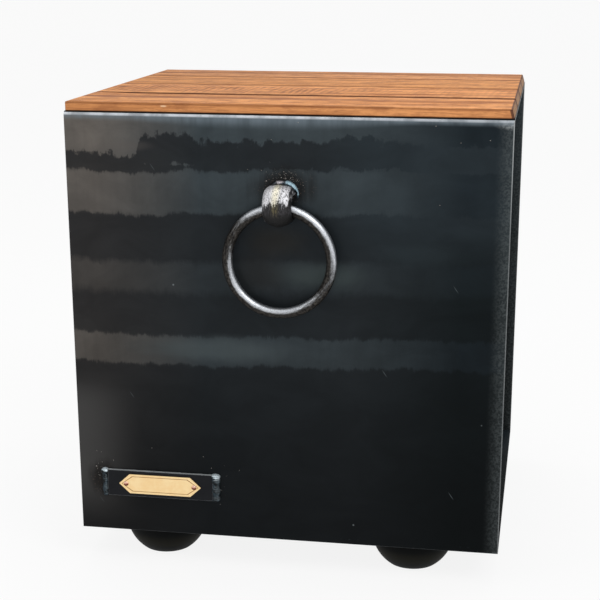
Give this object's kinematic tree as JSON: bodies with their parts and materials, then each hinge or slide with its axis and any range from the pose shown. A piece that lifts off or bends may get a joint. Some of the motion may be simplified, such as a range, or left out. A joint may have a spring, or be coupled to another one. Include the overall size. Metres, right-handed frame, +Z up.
{
  "type": "log storage seat",
  "caption": "Low seat with a boarded hardwood top on an open-ended black steel box that stores logs, with ring handles and domed feet.",
  "frame": {"origin": "on the floor, under the centre of the box", "axes": "+Z up, +X to the right along the boards, -Y towards the front panel that carries the label strap"},
  "size_m": [0.5, 0.514, 0.5505],
  "materials": {
    "black_steel": "blackened sheet steel, waxed, with pale ragged bands",
    "base_steel": "blackened sheet steel, waxed",
    "foot_steel": "satin black",
    "strap_steel": "blackened flat bar, satin",
    "ring_steel": "black with silver rubbed over it",
    "eye_steel": "black with silver rubbed over it",
    "weld_metal": "blue-grey weld beads, rippled",
    "screw_steel": "zinc plated",
    "tag_brass": "brushed, with an engraved border",
    "rivet_copper": "copper, dull",
    "slat_front_wood": "oiled hardwood, fine dark grain",
    "slat_second_wood": "oiled hardwood, fine dark grain",
    "slat_third_wood": "oiled hardwood, fine dark grain",
    "slat_rear_wood": "oiled hardwood, fine dark grain"
  },
  "bodies": {
    "frame": {"steel_shell": "black_steel", "base_plate": "base_steel", "base_welds": "weld_metal", "slat_front": "slat_front_wood", "slat_second": "slat_second_wood", "slat_third": "slat_third_wood", "slat_rear": "slat_rear_wood", "slat_screws": "screw_steel", "foot_front_left": "foot_steel", "foot_front_right": "foot_steel", "foot_rear_left": "foot_steel", "foot_rear_right": "foot_steel", "foot_welds": "weld_metal", "eye_front": "eye_steel", "eye_rear": "eye_steel", "eye_welds_front": "weld_metal", "eye_welds_rear": "weld_metal", "label_strap": "strap_steel", "strap_welds": "weld_metal", "tag_plate": "tag_brass", "tag_rivets": "rivet_copper"},
    "front_handle": {"ring_front": "ring_steel"},
    "rear_handle": {"ring_rear": "ring_steel"}
  },
  "joints": [
    {"name": "front_handle_swing", "type": "hinge", "parent": "frame", "child": "front_handle", "pos_m": [-0.003, -0.234, 0.439], "axis": [-1, 0, 0], "range_deg": [-3, 178]},
    {"name": "rear_handle_swing", "type": "hinge", "parent": "frame", "child": "rear_handle", "pos_m": [0.003, 0.234, 0.439], "axis": [1, 0, 0], "range_deg": [-3, 178]}
  ]
}
